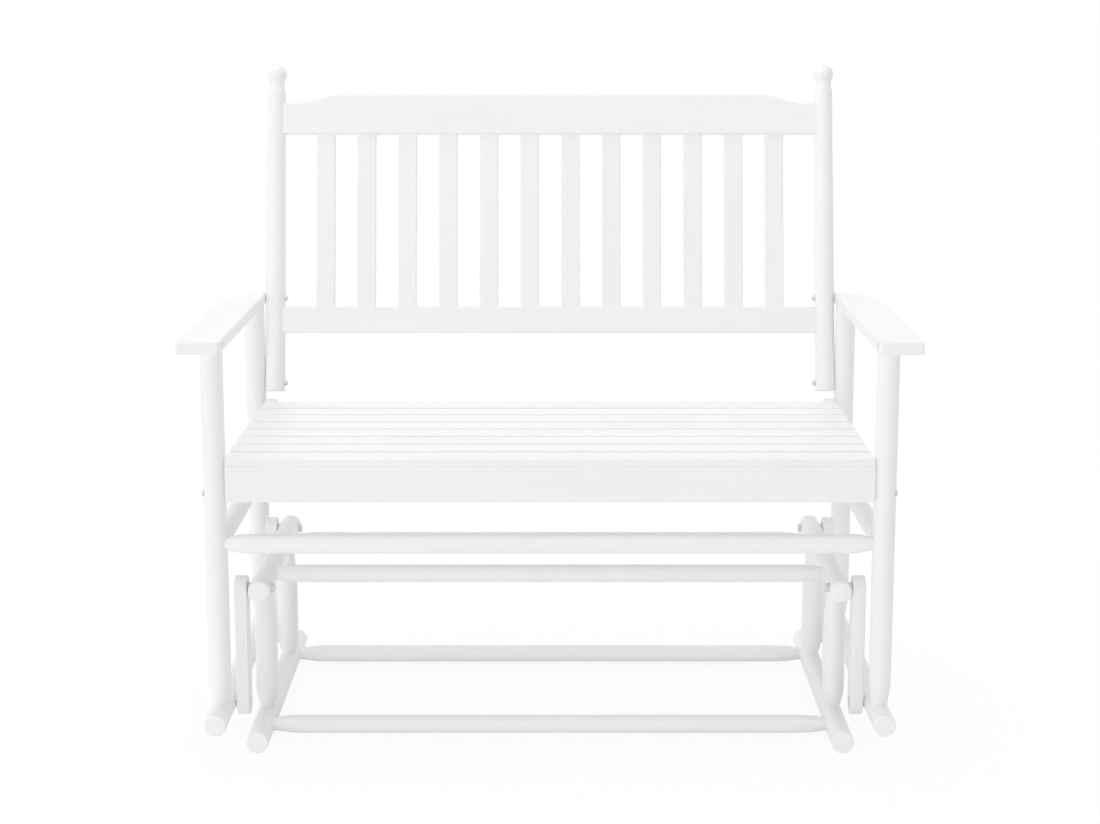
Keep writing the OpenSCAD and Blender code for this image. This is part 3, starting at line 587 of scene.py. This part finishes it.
# Floor frame
for side, sx in SIDES.items():
    out = ALONG_X * sx
    foot = rod(f"painted_bottom_rail_{side}", at(sx * BASE_X, -277.5, RAIL_R),
               at(sx * BASE_X, 277.5, RAIL_R), RAIL_R, PAINT["y"], edge=2)
    wood(foot, "base", f"base_bottom_rail_{side}")
    rail = rod(f"painted_top_rail_{side}", at(sx * BASE_X, -220, BASE_TOP_Z),
               at(sx * BASE_X, 220, BASE_TOP_Z), RAIL_R, PAINT["y"], edge=4)
    seats = []
    for sy in ENDS.values():
        seats.append((at(sx * BASE_OUTER_SEAT_X, sy * PIVOT_Y, BASE_TOP_Z), out))
        seats.append((at(sx * BASE_INNER_SEAT_X, sy * PIVOT_Y, BASE_TOP_Z), -out))
    wood(bore(rail, spots(seats, PIVOT_SPOT_R)), "base", f"base_top_rail_{side}")
    for end, sy in ENDS.items():
        post = rod(f"turned_base_post_{end}_{side}", at(sx * BASE_X, sy * 142, 17),
                   at(sx * BASE_X, sy * 142, 248.5), POST_R, PAINT["z"], POST_FOOT, POST_TOP)
        wood(post, "base", f"base_post_{end}_{side}")
for end, sy in ENDS.items():
    for level, y, z in (("low", 187, RAIL_R), ("high", 106, BASE_TOP_Z)):
        bar = rod(f"turned_{level}_stretcher_{end}", at(-465, sy * y, z), at(465, sy * y, z),
                  BASE_STRETCHER_R, PAINT["x"], BASE_STRETCHER_END, BASE_STRETCHER_END)
        wood(bar, "base", f"base_{level}_stretcher_{end}")

# Swing bars: flat bars with round ends, bored for bushes and recessed for the bolt heads
for side, sx in SIDES.items():
    for end, sy in ENDS.items():
        half = (BASE_TOP_Z - RUNNER_Z) / 2
        steps = 32
        points = []
        for k in range(steps + 1):
            angle = math.pi * k / steps
            points.append(Vector((BAR_HALF_WIDE * math.cos(angle), half + BAR_HALF_WIDE * math.sin(angle))))
        points += [Vector((-p.x, -p.y)) for p in points]
        middle = at(sx * BAR_X, sy * PIVOT_Y, RUNNER_Z + half)
        bar = board(f"painted_swing_bar_{end}_{side}", points, BOARD_T, 2, middle, ALONG_Y, ALONG_Z,
                    PAINT["z"])
        cuts = []
        for z, face in ((BASE_TOP_Z, 1), (RUNNER_Z, -1)):
            cuts.append((at(sx * 480, sy * PIVOT_Y, z), at(sx * 510, sy * PIVOT_Y, z), 6.1))
            seat = at(sx * (BAR_X + face * 4), sy * PIVOT_Y, z)
            cuts.append((seat, seat + ALONG_X * sx * face * 0.02, PIVOT_SPOT_R))
        wood(even_normals(bore(bar, cuts)), f"bar_{end}_{side}", f"swing_bar_{end}_{side}")

# Seat frame: bottom rails, legs and stretchers
for side, sx in SIDES.items():
    out = ALONG_X * sx
    runner = rod(f"painted_seat_bottom_rail_{side}", at(sx * SEAT_X, -311, RUNNER_Z),
                 at(sx * SEAT_X, 311, RUNNER_Z), RAIL_R, PAINT["y"], edge=2)
    seats = []
    for sy in ENDS.values():
        seats.append((at(sx * RUNNER_OUTER_SEAT_X, sy * PIVOT_Y, RUNNER_Z), out))
        seats.append((at(sx * RUNNER_INNER_SEAT_X, sy * PIVOT_Y, RUNNER_Z), -out))
    wood(bore(runner, spots(seats, PIVOT_SPOT_R)), "seat", f"seat_bottom_rail_{side}")
    for end, sy in ENDS.items():
        leg = rod(f"turned_leg_{end}_{side}", at(sx * SEAT_X, sy * LEG_Y, 56.5),
                  at(sx * SEAT_X, sy * LEG_Y, 641), RAIL_R, PAINT["z"], low=LEG_FOOT)
        bolt_seat = at(sx * SEAT_BOLT_X, sy * SEAT_RAIL_Y, SEAT_BOLT_Z)
        wood(bore(leg, spots([(bolt_seat, out)], BOLT_SPOT_R)), "seat", f"leg_{end}_{side}")
    tie = rod(f"turned_side_stretcher_{side}", at(sx * SEAT_X, -235.5, 332), at(sx * SEAT_X, 235.5, 332),
              SEAT_STRETCHER_R, PAINT["y"], SEAT_STRETCHER_END, SEAT_STRETCHER_END)
    wood(tie, "seat", f"side_stretcher_{side}")
for end, sy in ENDS.items():
    tie = rod(f"turned_seat_stretcher_{end}", at(-514.5, sy * LEG_Y, 335), at(514.5, sy * LEG_Y, 335),
              SEAT_STRETCHER_R, PAINT["x"], SEAT_STRETCHER_END, SEAT_STRETCHER_END)
    wood(tie, "seat", f"seat_stretcher_{end}")

# Seat boards
for end, sy in ENDS.items():
    rail = board(f"painted_seat_rail_{end}", box_outline(2 * BOARD_END_X, BOARD_H, 1), BOARD_T, 0.5,
                 at(0, sy * SEAT_RAIL_Y, BOARD_Z), ALONG_X, ALONG_Z, PAINT["x"])
    cuts = []
    for sx in SIDES.values():
        barrel = at(sx * 477.5, sy * (SEAT_RAIL_Y + 7.1), SEAT_BOLT_Z)
        cuts.append((barrel, barrel - ALONG_Y * sy * 0.03, 5.1))
    wood(even_normals(bore(rail, cuts)), "seat", f"seat_rail_{end}")
for side, sx in SIDES.items():
    with_heel = outline([(-SIDE_BOARD_HALF, -BOARD_H / 2, 2.5), (SIDE_BOARD_HALF, -BOARD_H / 2, 2.5),
                         (SIDE_BOARD_HALF, HEEL_TOP, 2.5), (HEEL_Y, HEEL_TOP, 2.5),
                         (HEEL_Y, BOARD_H / 2, 0), (-SIDE_BOARD_HALF, BOARD_H / 2, 2.5)])
    side_board = board(f"painted_side_board_{side}", with_heel, BOARD_T, 2, at(sx * 497.4, 0, BOARD_Z),
                       ALONG_Y, ALONG_Z, PAINT["y"])
    wood(even_normals(side_board), "seat", f"seat_side_board_{side}")
bearer = board("painted_middle_bearer", box_outline(2 * SIDE_BOARD_HALF, BOARD_H), BOARD_T, 2,
               at(0, 0, BOARD_Z), ALONG_Y, ALONG_Z, PAINT["y"])
wood(even_normals(bearer), "seat", "middle_bearer")
first_slat = board("seat_slat", box_outline(2 * BOARD_END_X, SEAT_SLAT_WIDE), SLAT_T, 0.9,
                   at(0, SEAT_SLAT_WIDE / 2 + SEAT_FRONT_Y, 468), ALONG_X, ALONG_Y, PAINT["x"])
slats = grow("painted_seat_slats", ROW, {
    "Count": SEAT_SLATS, "Step": Vector((0, (SEAT_SLAT_WIDE + SEAT_SLAT_GAP) / 1000, 0)),
    "Finish": PAINT["x"]}, first_slat.data)
drop(first_slat)
wood(even_normals(slats), "seat", *[f"seat_slat_{i + 1}" for i in range(SEAT_SLATS)])

# Arms, with a slanting rear end
for side, sx in SIDES.items():
    plan = [(507.5, -278.5, 4.5), (575, -278.5, 4.5), (575, 214.5, 25), (507.5, 288.5, 4)]
    points = outline([(sx * x, y, r) for x, y, r in plan[::sx]], 8)
    arm = board(f"painted_arm_{side}", points, BOARD_T, 3.2, at(0, 0, ARM_Z), ALONG_X, ALONG_Y, PAINT["y"])
    screw_hole = [(at(sx * 500, -LEG_Y, ARM_Z), at(sx * 510.2, -LEG_Y, ARM_Z), 5.75)]
    wood(even_normals(bore(arm, screw_hole)), "seat", f"arm_{side}")


# The back


def shoulder(sx):
    """One shoulder of the crest rail: from a corner at its raised middle, easing out to its end."""
    steps = 16
    points = []
    for k in range(steps + 1):
        part = k / steps
        drop_by = SHOULDER_DROP * (part + math.sin(math.pi / 2 * part)) / 2
        points.append((sx * (SHOULDER_X + SHOULDER_WIDE * part), CREST_HALF - drop_by, 0))
    return points


def back_post(name, sx):
    """A leaning post that narrows a little upwards, with a neck and an oval knob turned on its top."""
    top_r = 16
    neck_up = 515.5
    neck_length = 21
    neck_r = 13.75
    neck_steps = 12
    knob_up = 553.5
    knob_half = 17
    knob_r = 18
    knob_steps = 32
    rings = [(-15, 16.2), (-14.6, 16.9), (-14, 17.3), (-13, RAIL_R), (135, RAIL_R),
             (445, top_r), (neck_up, top_r)]
    for k in range(1, neck_steps + 1):
        part = k / neck_steps
        rings.append((neck_up + neck_length * part,
                      top_r - (top_r - neck_r) * (1 - math.cos(math.pi * part)) / 2))
    start = math.asin(neck_r / knob_r)
    for k in range(1, knob_steps):
        angle = math.pi - start - (math.pi - start) * k / knob_steps
        rings.append((knob_up + knob_half * math.cos(angle), knob_r * math.sin(angle)))
    post = spun(name, rings, sides=56)
    tilt = Matrix((UP_BACK, ALONG_X, ALONG_X.cross(UP_BACK) * -1)).transposed()
    post.data.transform(Matrix.Translation(on_back(sx * BACK_POST_X, 0)) @ tilt.to_4x4())
    faces_outwards(post.data)
    post.data.materials.append(PAINT["z_leaning"])
    return post


for side, sx in SIDES.items():
    post = back_post(f"turned_back_post_{side}", sx)
    seats = [(on_back(sx * BACK_BOLT_X, up), -ALONG_X * sx) for up in (0, ARM_BOLT_UP)]
    wood(bore(post, spots(seats, BOLT_SPOT_R)), "seat", f"back_post_{side}")
END_TOP = CREST_HALF - SHOULDER_DROP
crest_points = outline([(-BACK_RAIL_END_X, -CREST_HALF, 2.5), (BACK_RAIL_END_X, -CREST_HALF, 2.5),
                        (BACK_RAIL_END_X, END_TOP, 2.5)]
                       + shoulder(1)[::-1] + shoulder(-1) + [(-BACK_RAIL_END_X, END_TOP, 2.5)])
crest = board("painted_crest_rail", crest_points, BOARD_T, 2.2, on_back(0, 480.25),
              ALONG_X, UP_BACK, PAINT["x"])
wood(even_normals(crest), "seat", "crest_rail")
low_rail = board("painted_lower_back_rail", box_outline(2 * BACK_RAIL_END_X, 46), BOARD_T, 2.2,
                 on_back(0, 111.98), ALONG_X, UP_BACK, PAINT["x"])
wood(even_normals(low_rail), "seat", "lower_back_rail")
first_slat = board("back_slat", box_outline(33, 330), SLAT_T, 2, on_back(-400.4, 290),
                   ALONG_X, UP_BACK, PAINT["z_leaning"])
slats = grow("painted_back_slats", ROW, {
    "Count": BACK_SLATS, "Step": Vector((0.0728, 0, 0)), "Finish": PAINT["z_leaning"]}, first_slat.data)
drop(first_slat)
wood(even_normals(slats), "seat", "back_slats")


# Bolts, nuts and spacers


def at_pivots(x, z):
    """The same place at all four swing bars."""
    return [at(sx * x, sy * PIVOT_Y, z) for sx, sy in CORNERS]


hardware("zinc_top_pivot_bolts", "base", bolt(shank_r=4, length=57.16, head_r=7, head_h=4.4),
         at_pivots(TOP_BOLT_SEAT_X, BASE_TOP_Z), "top_pivot_bolts")
hardware("zinc_top_pivot_spacers", "base", spacer(5.84),
         at_pivots(BASE_OUTER_SEAT_X, BASE_TOP_Z), "top_pivot_spacers")
hardware("zinc_top_pivot_nuts", "base", flange_nut(),
         at_pivots(BASE_INNER_SEAT_X, BASE_TOP_Z), "top_pivot_nuts", turn=math.pi)
hardware("zinc_bottom_pivot_bolts", "seat", bolt(shank_r=4, length=51.3, head_r=7, head_h=4.4),
         at_pivots(BOTTOM_BOLT_SEAT_X, RUNNER_Z), "bottom_pivot_bolts", turn=math.pi)
hardware("zinc_bottom_pivot_spacers", "seat", spacer(5.34),
         at_pivots(505.3, RUNNER_Z), "bottom_pivot_spacers")
hardware("zinc_bottom_pivot_nuts", "seat", flange_nut(),
         at_pivots(RUNNER_OUTER_SEAT_X, RUNNER_Z), "bottom_pivot_nuts")
hardware("zinc_seat_rail_bolts", "seat", bolt(shank_r=3, length=73.25, head_r=5.5, head_h=3.3),
         [at(sx * SEAT_BOLT_X, sy * SEAT_RAIL_Y, SEAT_BOLT_Z) for sx, sy in CORNERS], "seat_rail_bolts")
hardware("zinc_back_bolts", "seat", bolt(shank_r=3, length=44.25, head_r=5, head_h=6),
         [on_back(sx * BACK_BOLT_X, up) for sx in SIDES.values() for up in (0, ARM_BOLT_UP)],
         "back_bolts", turn=math.pi)
hardware("zinc_arm_screws", "seat", bolt(shank_r=2.5, length=30, head_r=5.5, head_h=2.5),
         [at(sx * 510, -LEG_Y, ARM_Z) for sx in SIDES.values()], "arm_screws", turn=math.pi)

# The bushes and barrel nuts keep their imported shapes
for name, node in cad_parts.items():
    if name.startswith("bushes_"):
        node.data.materials.clear()
        node.data.materials.append(NYLON)
    if name == "barrel_nuts":
        node.data.materials.clear()
        node.data.materials.append(ZINC)

# A pale floor that turns to plain white away from the bench. Even under the bench the camera sees mostly
# plain white, so the shadow there is faint
floor_mesh = bpy.data.meshes.new("pale_floor")
floor_mesh.from_pydata([(-9, -9, 0), (9, -9, 0), (9, 9, 0), (-9, 9, 0)], [], [[0, 1, 2, 3]])
floor = put("pale_floor", floor_mesh)
floor_paint, tree, shader = new_material("pale_floor")
shader.inputs["Base Color"].default_value = linear("#FCFCFC")
shader.inputs["Roughness"].default_value = 0.9
white = add(tree, "ShaderNodeEmission", feeds={"Color": (1, 1, 1, 1), "Strength": 1.0})
rays = add(tree, "ShaderNodeLightPath")
place = add(tree, "ShaderNodeTexCoord")
away = add(tree, "ShaderNodeVectorMath", {"operation": "LENGTH"}, {0: place.outputs["Object"]})
fade = add(tree, "ShaderNodeMapRange", {"interpolation_type": "SMOOTHSTEP"}, {
    "Value": away.outputs["Value"], "From Min": 0.5, "From Max": 1.5, "To Min": 0.86, "To Max": 1.0})
seen = add(tree, "ShaderNodeMath", {"operation": "MULTIPLY"}, {
    0: fade.outputs["Result"], 1: rays.outputs["Is Camera Ray"]})
blend = add(tree, "ShaderNodeMixShader", feeds={
    0: seen.outputs[0], 1: shader.outputs["BSDF"], 2: white.outputs["Emission"]})
add(tree, "ShaderNodeOutputMaterial", {"is_active_output": True}, {"Surface": blend.outputs["Shader"]})
floor_mesh.materials.append(floor_paint)

# Even white surroundings, which the camera and the reflections see as plain white
world = bpy.data.worlds.new("white_room")
bpy.context.scene.world = world
world.use_nodes = True
tree = world.node_tree
tree.nodes.clear()
rays = add(tree, "ShaderNodeLightPath")
plain = add(tree, "ShaderNodeMath", {"operation": "MAXIMUM"}, {
    0: rays.outputs["Is Camera Ray"], 1: rays.outputs["Is Glossy Ray"]})
plain = add(tree, "ShaderNodeMath", {"operation": "MAXIMUM"}, {
    0: plain.outputs[0], 1: rays.outputs["Is Transmission Ray"]})
strength = add(tree, "ShaderNodeMapRange", feeds={
    "Value": plain.outputs[0], "To Min": 0.72, "To Max": 1.0})
sky = add(tree, "ShaderNodeBackground", feeds={
    "Color": (1, 1, 1, 1), "Strength": strength.outputs["Result"]})
add(tree, "ShaderNodeOutputWorld", feeds={"Surface": sky.outputs["Background"]})


def softbox(name, place, aim, size, watts, mirrored=True, shadows=True):
    """A square soft lamp that looks at a point. Some are seen in no glossy surface, and some cast no
    shadow."""
    lamp = bpy.data.lights.new(name, "AREA")
    lamp.shape = "SQUARE"
    lamp.size = size
    lamp.energy = watts
    lamp.use_shadow = shadows
    thing = put(name, lamp)
    thing.location = place
    thing.rotation_euler = (Vector(aim) - Vector(place)).to_track_quat("-Z", "Y").to_euler()
    thing.visible_camera = False
    thing.visible_glossy = mirrored


# The lamps without shadows fill the low pieces under the seat, which the photograph shows nearly as pale
LOW_AIM = (0, 0, 0.3)
HIGH_AIM = (0, 0, 0.4)
OVERHEAD = (-0.4, 0.4, 4.0)
softbox("left_lamp", (-9.2, -7.5, 1.8), LOW_AIM, size=6.0, watts=312, mirrored=False, shadows=False)
softbox("front_lamp", (0.6, -4.6, 0.7), LOW_AIM, size=3.4, watts=9, shadows=False)
softbox("top_lamp", OVERHEAD, HIGH_AIM, size=3.0, watts=35)
softbox("top_fill_lamp", OVERHEAD, HIGH_AIM, size=3.0, watts=20, mirrored=False, shadows=False)
softbox("rear_lamp", (0, 4.6, 1.2), LOW_AIM, size=3.4, watts=22, mirrored=False)

# The camera stands in front of the bench, a little above it, and looks slightly down
camera = bpy.data.cameras.new("photo_camera")
camera.sensor_width = 36
camera.lens = 69.8
camera.shift_y = -0.035
view_from = put("photo_camera", camera)
view_from.location = (0, -3.535, 1.193)
view_from.rotation_euler = (math.radians(90 - 10.2), 0, 0)
bpy.context.scene.camera = view_from
bpy.context.scene.view_settings.view_transform = "Standard"
